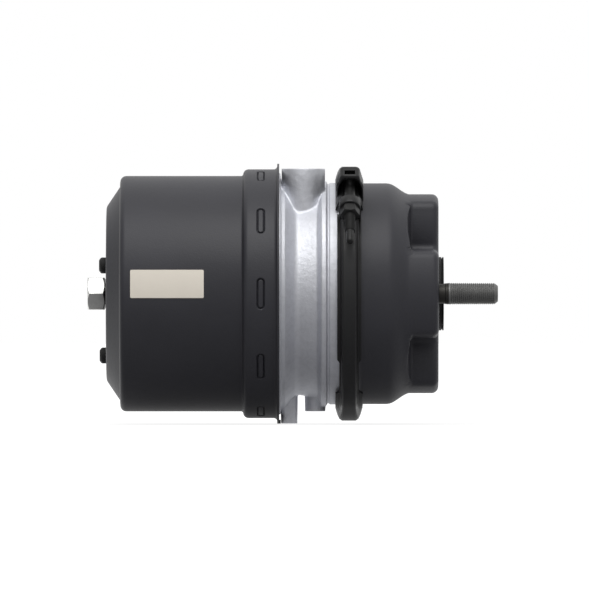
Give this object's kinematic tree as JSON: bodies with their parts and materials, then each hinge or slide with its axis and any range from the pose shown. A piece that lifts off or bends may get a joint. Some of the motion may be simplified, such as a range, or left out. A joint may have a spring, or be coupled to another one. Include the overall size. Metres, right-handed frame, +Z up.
{
  "type": "spring brake chamber",
  "caption": "Air brake actuator: spring case, aluminium flange with two ports, clamp ring and service housing on two studs.",
  "frame": {"origin": "middle of the mounting face, on the cylinder axis and midway between the two mounting studs", "axes": "+X along the cylinder axis, out of the mounting face, the way the push rod leaves; +Z up, with the ports on top; Y through the two studs"},
  "size_m": [0.307, 0.2086, 0.195],
  "materials": {
    "black_paint": "satin black paint on pressed steel",
    "clamp_black": "satin black coating on pressed steel",
    "bolt_black": "satin black coated fasteners",
    "cast_aluminium": "as-cast, lightly blasted",
    "zinc_steel": "dull zinc plating",
    "bolt_zinc": "bright zinc plating",
    "phosphated_steel": "dark phosphate",
    "spring_steel": "coated spring wire",
    "black_rubber": "matt moulded rubber",
    "diaphragm_rubber": "matt fabric-backed rubber",
    "guide_plastic": "low-friction plastic",
    "bronze_bush": "sintered bronze",
    "label_cream": "matt blank label"
  },
  "bodies": {
    "housing": {"spring_case": "black_paint", "release_bush": "phosphated_steel", "vent_plugs": "black_rubber", "label_plate": "label_cream", "spring_seat": "phosphated_steel", "power_spring": "spring_steel", "flange_casting": "cast_aluminium", "case_o_ring": "black_rubber", "tube_bush": "bronze_bush", "tube_seals": "black_rubber", "diaphragm": "diaphragm_rubber", "service_housing": "black_paint", "stud_plate": "phosphated_steel", "mounting_studs": "zinc_steel", "front_seal": "black_rubber", "boot": "diaphragm_rubber", "return_spring": "spring_steel", "clamp_half_front": "clamp_black", "clamp_half_back": "clamp_black", "clamp_bolts": "bolt_black", "clamp_nuts": "bolt_black"},
    "park_piston": {"piston": "cast_aluminium", "piston_seal": "black_rubber", "piston_guide": "guide_plastic", "piston_tube": "zinc_steel", "tube_pad": "phosphated_steel", "catch_ring": "phosphated_steel", "catch_clip": "spring_steel"},
    "push_rod_body": {"push_plate": "zinc_steel", "push_rod": "zinc_steel", "boot_clip": "zinc_steel"},
    "release_slide": {"thrust_washer": "phosphated_steel"},
    "release_bolt_body": {"release_bolt": "bolt_zinc", "catch_nut": "phosphated_steel", "catch_pin": "phosphated_steel"}
  },
  "joints": [
    {"name": "push_rod_stroke", "type": "slide", "parent": "housing", "child": "push_rod_body", "axis": [1, 0, 0], "range_m": [0, 0.057], "stiffness_N_per_m": 1500, "springref_m": -0.02, "deforming": ["return_spring", "boot", "diaphragm"]},
    {"name": "park_piston_stroke", "type": "slide", "parent": "housing", "child": "park_piston", "axis": [1, 0, 0], "range_m": [0, 0.057], "deforming": ["power_spring"]},
    {"name": "release_bolt_travel", "type": "slide", "parent": "housing", "child": "release_slide", "axis": [-1, 0, 0], "range_m": [0, 0.03]},
    {"name": "release_bolt_turn", "type": "hinge", "parent": "release_slide", "child": "release_bolt_body", "pos_m": [-0.25, 0, 0], "axis": [-1, 0, 0], "range_deg": [0, 5400]}
  ],
  "couplings": [
    {"joint": "park_piston_stroke", "follows": "push_rod_stroke", "ratio": 1},
    {"joint": "release_bolt_turn", "follows": "release_bolt_travel", "rad_per_m": 3141.6}
  ]
}
